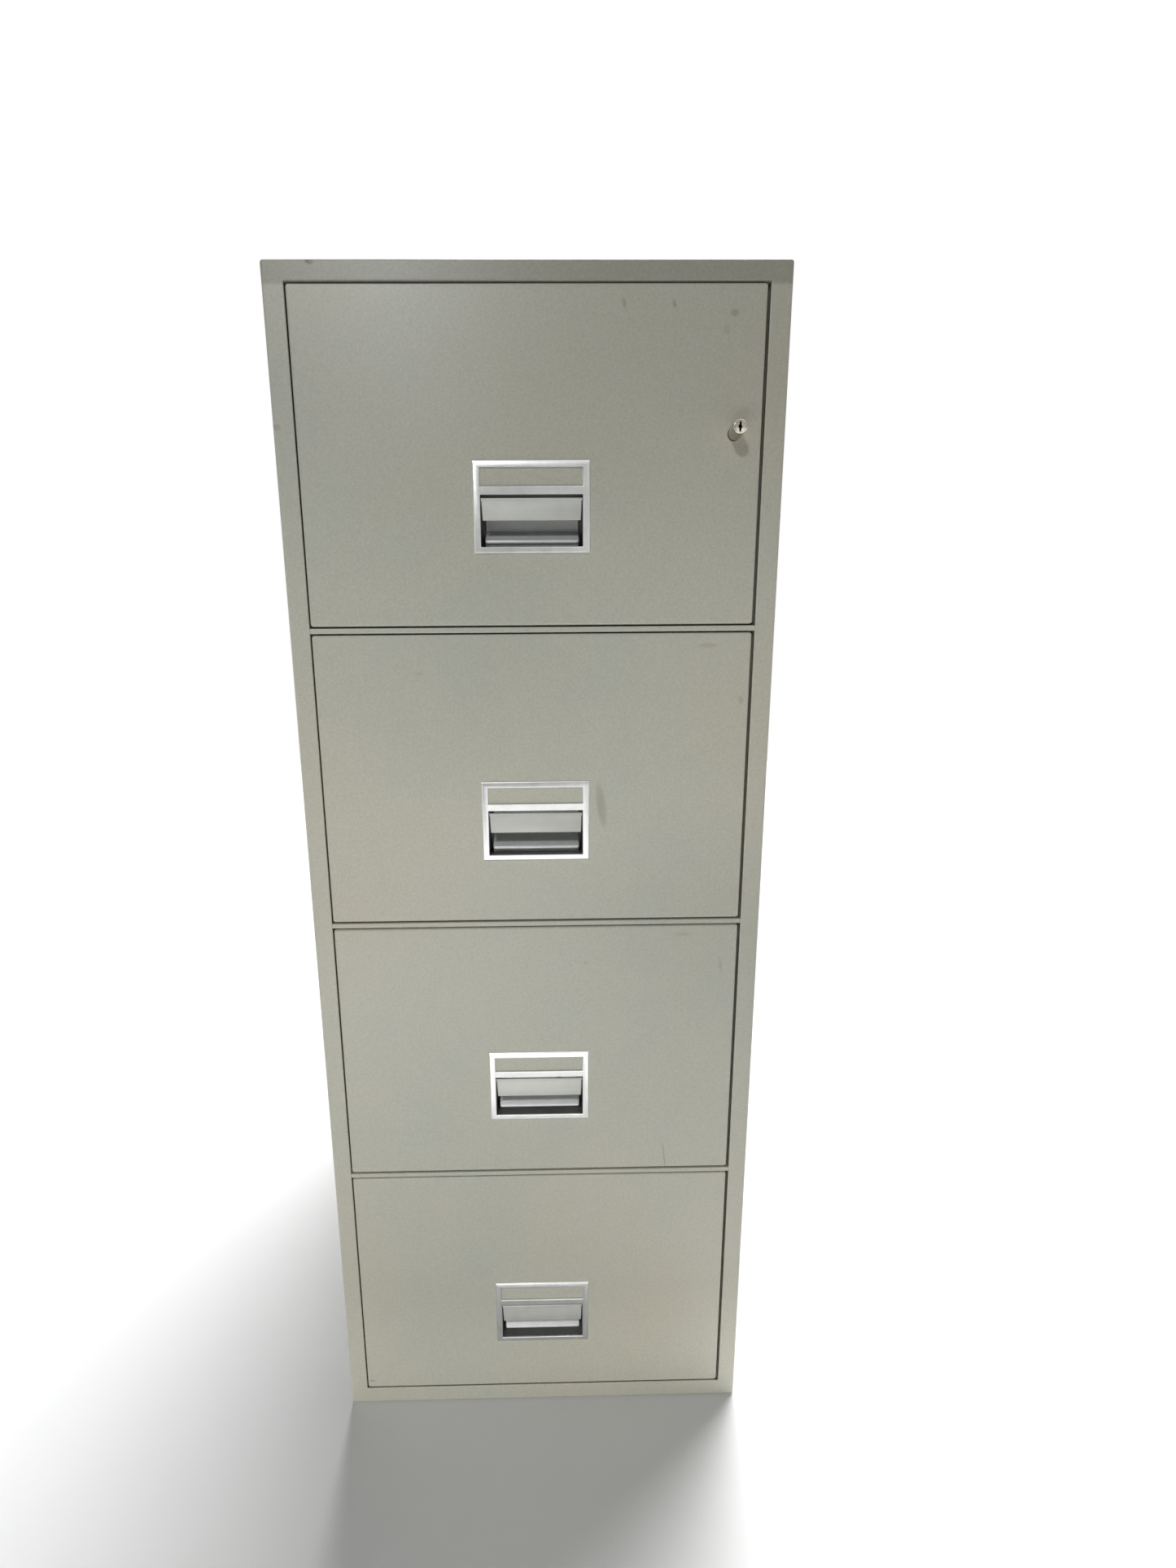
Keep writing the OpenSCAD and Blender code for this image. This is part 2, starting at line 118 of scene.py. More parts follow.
def ring(rect, radius, depth):
    """Rounded rectangle in the XZ plane at one depth behind the front face.

    rect is (x0, x1, z0, z1). Each corner is an arc over a quarter turn: its centre + radius * (cos a, sin a).
    """
    x0, x1, z0, z1 = rect
    angle = np.linspace(0, math.pi / 2, CORNER_STEPS)
    turns = np.array([0, 1, 2, 3])[:, None] * math.pi / 2 + angle[None, :]
    cx = np.array([x1 - radius, x0 + radius, x0 + radius, x1 - radius])[:, None]
    cz = np.array([z1 - radius, z1 - radius, z0 + radius, z0 + radius])[:, None]
    x = cx + radius * np.cos(turns)
    z = cz + radius * np.sin(turns)
    return np.stack([x.ravel(), np.full(x.size, front_y + depth), z.ravel()], axis=1)


def inset(rect, by):
    """The rectangle made smaller by the same distance on each side (larger when by is negative)."""
    x0, x1, z0, z1 = rect
    return (x0 + by, x1 - by, z0 + by, z1 - by)


def rolled(rect, radius, roll, depth, inwards=True, steps=6):
    """Rings of a quarter-round edge, from the wall at depth + roll to the face at depth.

    Over a quarter turn a, the wall moves by roll * (1 - cos a) and the depth by roll * (1 - sin a)."""
    sign = 1 if inwards else -1
    rings = []
    for a in np.linspace(0, math.pi / 2, steps):
        by = sign * roll * (1 - math.cos(a))
        rings.append(ring(inset(rect, by), max(radius - by, SHARPEST), depth + roll * (1 - math.sin(a))))
    return rings


print("a ring has", len(ring((0, 1, 0, 1), 0.1, 0)), "points")

# %% [markdown]
# ## From rings to a mesh
# A stack of rings is a grid of points, and quads between neighbouring rings make it a skin. The skin can
# close on itself like a tube bent into a loop, or end in caps. The points are one array, and the faces
# come from index arithmetic on the whole grid at once. The finished object stays at the origin with its
# place in its mesh, and is told which body carries it, so that it moves with that body.

# %% From rings to a mesh
def skin_faces(rows, columns, closed, offset):
    """Quads between neighbouring points of a grid; each row is a ring, and closed joins last row to first."""
    r, c = np.meshgrid(np.arange(rows if closed else rows - 1), np.arange(columns), indexing="ij")
    r2, c2 = (r + 1) % rows, (c + 1) % columns
    quads = [r * columns + c, r2 * columns + c, r2 * columns + c2, r * columns + c2]
    return np.stack(quads, axis=-1).reshape(-1, 4) + offset


class Build:
    """Collects skins and turns them into one mesh object at the origin."""

    def __init__(self):
        self.points, self.faces, self.count = [], [], 0

    def skin(self, rings, closed=False, caps=(False, False), flip=False):
        """Adds a skin through the rings; closed joins the last ring to the first, caps fill the ends."""
        grid = np.array(rings)
        rows, columns = grid.shape[:2]
        quads = skin_faces(rows, columns, closed, self.count)
        faces = (quads[:, ::-1] if flip else quads).tolist()
        ends = [list(range(self.count, self.count + columns)),
                list(range(self.count + (rows - 1) * columns, self.count + rows * columns))[::-1]]
        faces += [(end[::-1] if flip else end) for end, wanted in zip(ends, caps) if wanted]
        self.points.append(grid.reshape(-1, 3))
        self.faces += faces
        self.count += rows * columns
        return self

    def finish(self, name, body, slot, material, replaces=(), sharp=35, dark_from=None):
        """Makes the object. Edges above sharp degrees stay crisp, and the faces of an unlit bore, from the
        number dark_from on, take the near-black finish of painted shade and oil."""
        mesh = bpy.data.meshes.new(name)
        mesh.from_pydata(np.concatenate(self.points).tolist(), [], self.faces)
        mesh.materials.append(material)
        if dark_from is not None:
            mesh.materials.append(bore_dark)
            in_bore = np.arange(len(self.faces)) >= dark_from
            mesh.polygons.foreach_set("material_index", in_bore.astype(np.int32))
        mesh.update()
        mesh.shade_smooth()
        mesh.set_sharp_from_angle(angle=math.radians(sharp))
        piece = bpy.data.objects.new(name, mesh)
        bpy.context.collection.objects.link(piece)
        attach(piece, body)
        if replaces:
            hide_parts(*replaces)
        print(f"{name}: {len(mesh.polygons)} faces, rides on {body}")
        return piece


# %% [markdown]
# ## Shader maths as Python
# A material is a graph of nodes. Each could be added and linked by hand, which buries the recipe in links.
# Wrapping a socket in a small class lets ordinary expressions such as 1 - mask * 0.3 add the Math nodes, so
# that a finish reads like its recipe. Colours are mixed with Mix nodes, since Math would turn them grey.

# %% Wire: one socket with operators
class Wire:
    """One output socket of a node tree, with Python's operators for Math nodes."""

    def __init__(self, tree, socket=None):
        self.tree, self.socket = tree, socket

    def node(self, kind, inputs=(), output=0, **settings):
        """Adds any node: its settings first, then its sockets, and gives back one of its outputs."""
        made = self.tree.nodes.new("ShaderNode" + kind)
        for key, value in settings.items():
            setattr(made, key, value)
        for key, value in dict(inputs).items():
            if isinstance(value, Wire):
                self.tree.links.new(value.socket, made.inputs[key])
            else:
                made.inputs[key].default_value = value
        return Wire(self.tree, made.outputs[output])

    def maths(self, operation, first, second):
        return self.node("Math", {0: first, 1: second}, operation=operation)

    def __add__(self, other):
        return self.maths("ADD", self, other)

    def __sub__(self, other):
        return self.maths("SUBTRACT", self, other)

    def __rsub__(self, other):
        return self.maths("SUBTRACT", other, self)

    def __mul__(self, other):
        return self.maths("MULTIPLY", self, other)

    def __truediv__(self, other):
        return self.maths("DIVIDE", self, other)

    __radd__, __rmul__ = __add__, __mul__

    def step(self, low, high):
        """0 below low, 1 above high, and a smooth rise between."""
        sockets = {"Value": self, "From Min": low, "From Max": high}
        return self.node("MapRange", sockets, interpolation_type="SMOOTHSTEP")

    def mix(self, low, high):
        """Colour between low and high, by this value."""
        return self.node("Mix", {0: self, 6: low, 7: high}, output=2, data_type="RGBA")

    def noise(self, where, scale, detail=2.0, roughness=0.5):
        return self.node("TexNoise", {"Vector": where, "Scale": scale, "Detail": detail,
                                      "Roughness": roughness})

    def split(self, vector):
        """The x, y and z of a vector."""
        made = self.tree.nodes.new("ShaderNodeSeparateXYZ")
        self.tree.links.new(vector.socket, made.inputs[0])
        return [Wire(self.tree, made.outputs[i]) for i in range(3)]


def new_material(name, base, roughness, metallic=0.0):
    """A material with its Principled shader's constants set; gives the material, a Wire and the shader."""
    material = bpy.data.materials.new(name)
    material.use_nodes = True
    tree = material.node_tree
    shader = tree.nodes["Principled BSDF"]
    shader.inputs["Base Color"].default_value = (*base, 1)
    shader.inputs["Roughness"].default_value = roughness
    shader.inputs["Metallic"].default_value = metallic
    return material, Wire(tree), shader


def plug(wire, shader, socket):
    wire.tree.links.new(wire.socket, shader.inputs[socket])


def srgb(r, g, b):
    """Linear colour from display values of 0 to 255, by the display curve's power of 2.4."""
    return tuple(((v / 255 + 0.055) / 1.055) ** 2.4 for v in (r, g, b))


print("mid grey is", round(srgb(128, 128, 128)[0], 3), "in linear light")

# %% [markdown]
# ## The enamel
# Old greyish-beige stoving enamel. Sprayed paint dries with a fine orange peel and a slight speckle, and
# years of use leave it mottled. The border above the top drawer is darkened as painted shade, the foot and a
# band at hand height are lightened as painted light, and knocks have left marks. A painted image could hold
# all that, but noise on the object's own coordinates keeps its scale on every panel. The marks are soft
# ellipses at chosen places on the front.

# %% Enamel
highest_front = box("drawer_front_1")[1][2]
PAINT_LIGHT = srgb(180, 178, 165)
PAINT_COOL = srgb(175, 176, 165)
PAINT_WARM = srgb(180, 177, 162)
GRIME = srgb(112, 104, 88)
BROAD_SCALE, PATCH_SCALE, SPECK_SCALE, PEEL_SCALE = 2.6, 9.0, 420.0, 620
# The speckle and the low dirt are the paint's own; the other three amounts paint shade on the top border and
# light on the foot and on a band at hand height.
SPECKLE, TOP_SHADE, FOOT_LIGHT, MID_LIGHT, LOW_DIRT = 0.42, 0.30, 0.26, 0.18, 0.05
# The painted shade on the top border starts just above the top drawer.
TOP_SHADE_LINE = highest_front + 0.0008
# The first pair of heights lightens the foot as painted light; the second holds patchy grime near the floor.
FOOT_LIGHT_HEIGHTS, DIRT_HEIGHTS = (0.03, 0.20), (0.0, 0.16)
# These heights bound a band at hand height that is lightened as painted light.
MID_LIGHT_RISE, MID_LIGHT_FALL = (0.68, 0.86), (1.05, 1.34)
SPOTS = (
    # x, z, half width, half height, strength
    (0.0955, 1.3576, 0.0022, 0.0050, 0.42),
    (0.1462, 1.3568, 0.0022, 0.0040, 0.50),
    (0.2071, 1.3487, 0.0045, 0.0040, 0.50),
    (0.1996, 1.3333, 0.0040, 0.0040, 0.22),
    (-0.2162, 1.3950, 0.0045, 0.0035, 0.60),
    (-0.2606, 1.2443, 0.0040, 0.0035, 0.38),
    (0.0755, 0.8430, 0.0055, 0.0270, 0.38),
    (0.1921, 1.0220, 0.0120, 0.0030, 0.26),
    (0.2309, 0.9622, 0.0030, 0.0045, 0.36),
    (-0.1264, 0.9940, 0.0060, 0.0016, 0.22),
    (0.0582, 0.6496, 0.0040, 0.0030, 0.20),
    (0.1753, 0.6843, 0.0110, 0.0030, 0.22),
    (0.2209, 0.6449, 0.0018, 0.0120, 0.30),
    (0.1585, 0.3830, 0.0010, 0.0200, 0.55),
    (-0.2350, 0.0361, 0.0050, 0.0012, 0.55),
)
SPOT_TILT = 0.13
SPOT_RIM = (0.15, 1.4)


def soft_ellipse(x, z, spot):
    """Mask of one mark: 1 at its middle and 0 past its rim, tilted a little off the vertical."""
    cx, cz, rx, rz, strength = spot
    up = (z - cz) / rz
    across = (x - cx + (z - cz) * SPOT_TILT) / rx
    reach = across * across + up * up
    return (1 - reach.step(*SPOT_RIM)) * strength


def enamel(name, marks=True, light=1.0, gloss=0.42, peel=0.10):
    """Paint tone from broad and patchy noise, with painted shade and painted light by height and speckle,
    then mixed with grime.
    """
    material, wire, shader = new_material(name, PAINT_LIGHT, gloss)
    where = wire.node("TexCoord", output=3)
    x, y, z = wire.split(where)
    broad = wire.noise(where, BROAD_SCALE, 3.0)
    patch = wire.noise(where, PATCH_SCALE, 4.0, 0.6)
    speck = wire.noise(where, SPECK_SCALE, 2.0, 0.7)
    grain = wire.noise(where, PEEL_SCALE, 1.0)
    tone = broad.step(0.38, 0.64).mix((*PAINT_COOL, 1), (*PAINT_WARM, 1))
    tone = patch.step(0.35, 0.70).mix(tone, (*PAINT_LIGHT, 1))
    in_front = 1 - y.step(front_y + 0.01, front_y + 0.04)
    # Painted shade: the border above the top drawer is darkened.
    top_shaded = z.step(TOP_SHADE_LINE - 0.004, TOP_SHADE_LINE) * in_front
    # Painted light: the foot is lightened.
    foot_lit = 1 - z.step(*FOOT_LIGHT_HEIGHTS)
    # Painted light: a band at hand height is lightened.
    mid_lit = z.step(*MID_LIGHT_RISE) * (1 - z.step(*MID_LIGHT_FALL))
    shade = (1 - SPECKLE / 2 + speck * SPECKLE) * (1 - top_shaded * TOP_SHADE)
    shade = shade * (1 + foot_lit * FOOT_LIGHT) * (1 + mid_lit * MID_LIGHT) * light
    dirt = (1 - z.step(*DIRT_HEIGHTS)) * patch.step(0.40, 0.75) * LOW_DIRT
    if marks:
        for spot in SPOTS:
            dirt = dirt + soft_ellipse(x, z, spot) * speck.step(0.30, 0.52) * in_front
    dirt = wire.node("Clamp", {"Value": dirt})
    both = {0: 1.0, 6: dirt.mix(tone, (*GRIME, 1)), 7: shade}
    plug(wire.node("Mix", both, output=2, data_type="RGBA", blend_type="MULTIPLY"), shader, "Base Color")
    plug(gloss - 0.05 + patch * 0.10 + dirt * 0.25, shader, "Roughness")
    bump = wire.node("Bump", {"Height": grain + patch * 0.8, "Strength": peel, "Distance": 0.0004})
    plug(bump, shader, "Normal")
    return material


paint = enamel("cabinet_enamel")
# The inner enamel is the cabinet's paint darkened by a light factor of 0.86, as painted shade inside.
inner_paint = enamel("inner_enamel", marks=False, light=0.86, gloss=0.5, peel=0.06)
print("enamel with", len(SPOTS), "marks")

# %% [markdown]
# ## Metals
# The handle is a satin casting with a soft even sheen and a faint grain. The flap is brushed along its
# length, and the lock barrel is plated. Rolled slide members are zinc plated, with the cloudy crystals of
# the plating and fine lines along the rolling direction. One function makes them all: noise squeezed along
# an axis reads as brushing, so a finish is only a choice of colour, roughness and stretch.

# %% Metals
CLOUD_SCALE = 60.0


def satin(name, base, rough, stretch=(1, 1, 1), grain=900, depth=0.08, wear=0.12, metal=1.0):
    """Metal with a fine grain; stretch squeezes the grain along an axis, which reads as brushing."""
    material, wire, shader = new_material(name, base, rough, metal)
    where = wire.node("TexCoord", output=3)
    along = wire.node("Mapping", {"Vector": where, "Scale": stretch})
    lines = wire.noise(along, grain, 2.0, 0.6)
    cloud = wire.noise(where, CLOUD_SCALE, 4.0, 0.6)
    dull = tuple(v * (1 - wear) for v in base)
    bright = tuple(min(1.0, v * (1 + wear)) for v in base)
    mixed = (cloud * 0.6 + lines * 0.4).step(0.35, 0.65)
    plug(mixed.mix((*dull, 1), (*bright, 1)), shader, "Base Color")
    plug(rough - 0.08 + lines * 0.10 + cloud * 0.08, shader, "Roughness")
    plug(wire.node("Bump", {"Height": lines, "Strength": depth, "Distance": 0.0002}), shader, "Normal")
    return material


ALONG_X, ALONG_X_A_LITTLE, ALONG_Y = (0.03, 1, 1), (0.2, 1, 1), (1, 0.03, 1)
bezel_metal = satin("satin_casting", srgb(206, 207, 205), 0.34, wear=0.06, metal=0.8)
flap_metal = satin("brushed_flap", srgb(182, 183, 178), 0.58, ALONG_X, 1400, wear=0.05, metal=0.45)
pan_metal = satin("scoop_metal", srgb(212, 214, 213), 0.45, ALONG_X_A_LITTLE, wear=0.06, metal=0.3)
# The cup's dark grey is painted shade for the inside of the finger recess.
cup_shade_metal = satin("cup_shade_metal", srgb(104, 104, 102), 0.5, wear=0.15, metal=0.5)
plated = satin("lock_plating", srgb(196, 190, 178), 0.16, grain=500, depth=0.03, wear=0.18)
zinc = satin("zinc_plate", srgb(186, 188, 188), 0.38, ALONG_Y, 700, depth=0.05, wear=0.16)
bright_steel = satin("bright_steel", srgb(168, 167, 165), 0.32, grain=1100, wear=0.15)
print("seven metal finishes")

# %% [markdown]
# ## Mineral board and shaded, oiled bore
# The insulation in the walls is a cast mineral, matt and pitted with air holes, so cells of a Voronoi
# pattern dent it and darken its colour as painted shade in the holes. The inside of a bore gets no light and
# holds old oil, so it gets a near-black colour of painted shade and oil. A dark material says that more
# simply than a deep hole lit by chance.

# %% Mineral board and shaded, oiled bore
def cast_board(name):
    """Cast mineral insulation: matt, off-white and pitted with small air holes."""
    material, wire, shader = new_material(name, srgb(205, 199, 184), 0.92)
    where = wire.node("TexCoord", output=3)
    cloud = wire.noise(where, 30.0, 4.0)
    pits = wire.node("TexVoronoi", {"Vector": where, "Scale": 260.0}).step(0.10, 0.28)
    tone = cloud.mix((*srgb(186, 179, 163), 1), (*srgb(222, 217, 204), 1))
    # The pits' darker colour is painted shade in the air holes.
    plug(pits.mix((*srgb(140, 133, 118), 1), tone), shader, "Base Color")
    plug(0.84 + cloud * 0.14, shader, "Roughness")
    plug(wire.node("Bump", {"Height": pits + cloud, "Strength": 0.3, "Distance": 0.0008}), shader, "Normal")
    return material


def dark_bore(name):
    """Painted shade for the unlit inside of a bore, on oiled metal that is nearly black."""
    material, wire, shader = new_material(name, srgb(24, 22, 20), 0.6, 0.4)
    where = wire.node("TexCoord", output=3)
    film = wire.noise(where, 300.0, 3.0)
    plug(film.mix((*srgb(14, 13, 12), 1), (*srgb(34, 31, 28), 1)), shader, "Base Color")
    plug(0.5 + film * 0.25, shader, "Roughness")
    return material


board = cast_board("mineral_board")
bore_dark = dark_bore("bore_shade_and_oil")
print("finishes", board.name, "and", bore_dark.name)

# %% [markdown]
# ## Finishes on the frame's own pieces
# Everything that gets no new piece keeps the frame's plain solid: liners, boxes, slides, pins, springs,
# screws. Each solid's record names a material slot, and that slot picks the finish.

# %% Finishes on the frame's own pieces
SLOT_FINISH = {"paint": paint, "inner_paint": inner_paint, "insulation": board, "slide_steel": zinc,
               "pin_steel": bright_steel, "satin_metal": bezel_metal, "pan_metal": pan_metal,
               "flap_metal": flap_metal, "lock_chrome": plated}
for entry in frame["record"]["subparts"]:
    node = frame["nodes"][entry["node"]]
    node.data.materials.clear()
    node.data.materials.append(SLOT_FINISH[entry["material_slot"]])
print("finishes on", len(frame["nodes"]), "frame nodes")

# %% [markdown]
# ## The outer skin
# The wrap, the flush front frame and the base are welded and ground into one skin, so they are one piece
# here. Three boxes with bevels would leave seams. One closed loop of rings goes in through the drawer
# opening, over the flush face, round the soft outer edge, back along the sides and in again over the
# folded rear edge.

# %% Outer skin
OUTER_RADIUS = 0.003
EDGE_ROLL = 0.0022
OPENING_ROLL = 0.0009
OPENING_CORNER = 0.0005
RETURN_DEPTH = 0.004
REAR_FOLD = 0.0006
body_rect = (shell_low[0], shell_high[0], shell_low[2], shell_high[2])
depth_all = shell_high[1] - front_y
rail_low, rail_high = box("drawer_rails")
liner_low, liner_high = box("chamber_liners")
LINER = 0.001
opening_rect = (rail_low[0], rail_high[0], liner_low[2] + LINER, liner_high[2] - LINER)


def outer_skin():
    """Closed loop of rings: opening's return, front face, outer edge, sides, rear fold, inner wall."""
    rings = [ring(opening_rect, OPENING_CORNER, RETURN_DEPTH)]
    rings += rolled(opening_rect, OPENING_CORNER, OPENING_ROLL, 0, inwards=False)
    rings.append(ring(inset(opening_rect, -2 * OPENING_ROLL), 2 * OPENING_CORNER, 0))
    rings.append(ring(inset(body_rect, EDGE_ROLL + 0.001), OUTER_RADIUS, 0))
    rings += rolled(body_rect, OUTER_RADIUS, EDGE_ROLL, 0)[::-1]
    rings += [ring(body_rect, OUTER_RADIUS, depth)
              for depth in (0.012, depth_all - 0.004, depth_all - REAR_FOLD)]
    rings.append(ring(inset(body_rect, REAR_FOLD), OUTER_RADIUS, depth_all))
    inner_rect = inset(body_rect, 2 * REAR_FOLD)
    rings += [ring(inner_rect, OUTER_RADIUS, depth) for depth in (depth_all - 0.0004, RETURN_DEPTH)]
    return Build().skin(rings, closed=True).finish(
        "outer_skin", "carcass", "paint", paint, ("outer_shell", "front_frame", "base_plate"))


outer_skin()

# %% [markdown]
# ## Rails between the drawers
# Each rail is a flat bar a few millimetres high, flush with the frame, with its long edges just broken. It
# could be a box with a bevel, but the rings above already roll an edge. Its height is what two neighbouring
# drawer fronts leave between them, less the gap that each drawer needs.

# %% Rails
RAIL_GAP = 0.0018
RAIL_DROP = 0.00015
RAIL_DEPTH = 0.060
RAIL_ROLL = 0.0006


def rails():
    """Three bars, each a tube of rings from its rear edge to its broken front edge, with closed ends."""
    build = Build()
    for upper in DRAWERS[:-1]:
        above, below = box(f"drawer_front_{upper}")[0][2], box(f"drawer_front_{upper + 1}")[1][2]
        middle, half = (above + below) / 2 - RAIL_DROP, (above - below) / 2 - RAIL_GAP
        rect = (rail_low[0], rail_high[0], middle - half, middle + half)
        rings = [ring(rect, 0.0005, RAIL_DEPTH)] + rolled(rect, RAIL_ROLL, RAIL_ROLL, 0)
        build.skin(rings, caps=(True, True))
    return build.finish("drawer_rails_soft", "carcass", "paint", paint, ("drawer_rails",))


rails()

# %% [markdown]
# ## Drawer fronts
# Each front is one pressed pan of sheet: a flat face whose edge rolls into a return flange, with an
# opening for the handle. A Solidify modifier could thicken a single skin, but one closed loop of rings
# gives the sheet its thickness and each fold its own radius.

# %% Drawer fronts
FRONT_SHEET = 0.0012
FRONT_ROLL = 0.0020
FRONT_CORNER = 0.003
FACE_EDGE = FRONT_ROLL + 0.0006
HOLE_CORNER, HOLE_RIM = 0.0003, 0.0005


def drawer_panel(n):
    """Closed loop of rings: flange, rolled edge, face, handle opening, and back along the inside."""
    low, high = box(f"drawer_front_{n}")
    pan_low, pan_high = box(f"handle_pan_{n}")
    rect = (low[0], high[0], low[2], high[2])
    hole = (pan_low[0], pan_high[0], pan_low[2], pan_high[2])
    back = high[1] - front_y
    inside = inset(rect, FRONT_SHEET)
    rings = [ring(rect, FRONT_CORNER, back)]
    rings += rolled(rect, FRONT_CORNER, FRONT_ROLL, 0)
    rings.append(ring(inset(rect, FACE_EDGE), FRONT_CORNER, 0))
    rings.append(ring(inset(hole, -HOLE_RIM), 2 * HOLE_CORNER, 0))
    rings += [ring(hole, HOLE_CORNER, 0), ring(hole, HOLE_CORNER, FRONT_SHEET)]
    rings.append(ring(inset(rect, FACE_EDGE), FRONT_CORNER, FRONT_SHEET))
    rings += rolled(inside, FRONT_CORNER - FRONT_SHEET, FRONT_ROLL - FRONT_SHEET, FRONT_SHEET)[::-1]
    rings.append(ring(inside, FRONT_CORNER - FRONT_SHEET, back))
    return Build().skin(rings, closed=True).finish(
        f"drawer_panel_{n}", f"drawer_{n}", "paint", paint, (f"drawer_front_{n}",))


panels = {n: drawer_panel(n) for n in DRAWERS}

# %% [markdown]
# ## The lock's hole
# The top drawer is drilled for the lock's barrel. Rings have no place for a hole beside the handle, so a
# Boolean takes a cylinder out of the finished panel. It is applied at once, so the mesh stays plain and
# nothing is left to be worked out later.

# %% The lock's hole in the top drawer
barrel_low, barrel_high = box("lock_barrel")
lock_x, lock_z = (barrel_low[0] + barrel_high[0]) / 2, (barrel_low[2] + barrel_high[2]) / 2
barrel_r = (barrel_high[0] - barrel_low[0]) / 2
HOLE_ROOM = 0.00065
CUT_PAST = 0.002
TURN = np.arange(64) * 2 * math.pi / 64


def circle(radius, depth):
    """Points around the lock's axis: axis + radius * (cos a, sin a), with one radius or one per angle."""
    return np.stack([lock_x + radius * np.cos(TURN), np.full(len(TURN), front_y + depth),
                     lock_z + radius * np.sin(TURN)], axis=1)


def cut_hole(panel, radius):
    """Takes a round hole out of a panel, with the Boolean applied and the cutter thrown away."""
    cutter = bpy.data.meshes.new("cutter")
    ends = [circle(radius, -CUT_PAST), circle(radius, FRONT_SHEET + CUT_PAST)]
    build = Build().skin(ends, caps=(True, True))
    cutter.from_pydata(np.concatenate(build.points).tolist(), [], build.faces)
    tool = bpy.data.objects.new("cutter", cutter)
    bpy.context.collection.objects.link(tool)
    cut = panel.modifiers.new("hole", "BOOLEAN")
    cut.operation, cut.solver, cut.object = "DIFFERENCE", "EXACT", tool
    graph = bpy.context.evaluated_depsgraph_get()
    drilled = bpy.data.meshes.new_from_object(panel.evaluated_get(graph))
    panel.modifiers.clear()
    panel.data = drilled
    drilled.set_sharp_from_angle(angle=math.radians(35))
    bpy.data.objects.remove(tool)
    bpy.data.meshes.remove(cutter)
    return len(drilled.polygons)


print("drawer 1 after the hole:", cut_hole(panels[1], barrel_r + HOLE_ROOM), "faces")

# %% [markdown]
# ## Handle frames
# A die-cast frame stands two millimetres proud of each drawer. Its outer edge is a wide mitred bevel, wider
# along the top, and the label window and finger recess have narrow chamfers. A frame with two holes is no
# stack of rings, so its faces are flat polygons between loops of four corners. A small live Bevel softens
# every arris so that it catches a line of light.

# %% Handle frames
FRAME_BEVEL = 0.0016
TOP_BEVEL = 0.0036
CROWN, TOP_CROWN = 0.35 * FRAME_BEVEL, 0.2 * TOP_BEVEL
HOLE_CHAMFER = 0.0005
ARRIS, ARRIS_SEGMENTS, ARRIS_ANGLE = 0.00025, 2, 25
PAN_WALL = 0.0012
MID_RAIL = 0.0080
TOP_RAIL = 0.0071


def square(rect, depth):
    """The four corners of a rectangle at one depth, anticlockwise from the low left."""
    x0, x1, z0, z1 = rect
    y = front_y + depth
    return np.array([(x0, y, z0), (x1, y, z0), (x1, y, z1), (x0, y, z1)])


def soften(piece):
    """A narrow bevel on every edge sharper than the angle."""
    bevel = piece.modifiers.new("soft_edges", "BEVEL")
    bevel.width, bevel.segments = ARRIS, ARRIS_SEGMENTS
    bevel.limit_method, bevel.angle_limit = "ANGLE", math.radians(ARRIS_ANGLE)
    bevel.harden_normals = False
    return piece


def handle_frame(n):
    """Loops of four corners: 0 to 3 up the outer bevel, 4 to 6 into the recess, 7 to 9 into the window."""
    low, high = box(f"handle_bezel_{n}")
    pan_low, pan_high = box(f"handle_pan_{n}")
    proud = low[1] - front_y
    x0, x1, z0, z1 = outer = (low[0], high[0], low[2], high[2])
    recess = inset((pan_low[0], pan_high[0], pan_low[2], pan_high[2]), PAN_WALL)
    window = (recess[0], recess[1], recess[3] + MID_RAIL, high[2] - TOP_RAIL)
    crown = (x0 + CROWN, x1 - CROWN, z0 + CROWN, z1 - TOP_CROWN)
    flat = (x0 + FRAME_BEVEL, x1 - FRAME_BEVEL, z0 + FRAME_BEVEL, z1 - TOP_BEVEL)
    loops = [square(outer, 0), square(outer, proud + FRAME_BEVEL),
             square(crown, proud + FRAME_BEVEL / 2), square(flat, proud)]
    for hole in (recess, window):
        loops += [square(inset(hole, -HOLE_CHAMFER), proud), square(hole, proud + HOLE_CHAMFER),
                  square(hole, 0)]
    corner, after = np.arange(4), (np.arange(4) + 1) % 4
    faces = []
    for first, second in ((0, 1), (1, 2), (2, 3), (4, 5), (5, 6), (7, 8), (8, 9)):
        walls = [4 * first + corner, 4 * first + after, 4 * second + after, 4 * second + corner]
        faces += np.stack(walls, axis=1).tolist()
    for outline, recess_loop, window_loop, front in ((3, 4, 7, True), (0, 6, 9, False)):
        a, r, w = (4 * loop for loop in (outline, recess_loop, window_loop))
        flats = [[a, a + 1, r + 1, r], [r + 3, r + 2, w + 1, w], [w + 3, w + 2, a + 2, a + 3],
                 [a, r, r + 3, w, w + 3, a + 3], [a + 2, w + 2, w + 1, r + 2, r + 1, a + 1]]
        faces += flats if front else [face[::-1] for face in flats]
    build = Build()
    build.points, build.faces = loops, faces
    piece = build.finish(f"handle_frame_{n}", f"drawer_{n}", "satin_metal", bezel_metal,
                         (f"handle_bezel_{n}",), sharp=20)
    return soften(piece)


for n in DRAWERS:
    handle_frame(n)

# %% [markdown]
# ## Sections swept across
# The scoop and the flap keep one outline over their whole width. Such a piece is a section, drawn as depth
# and height, that is carried along X through a few stations. An extruded curve could do it, but stations
# can also shrink the section, which rounds off the ends.

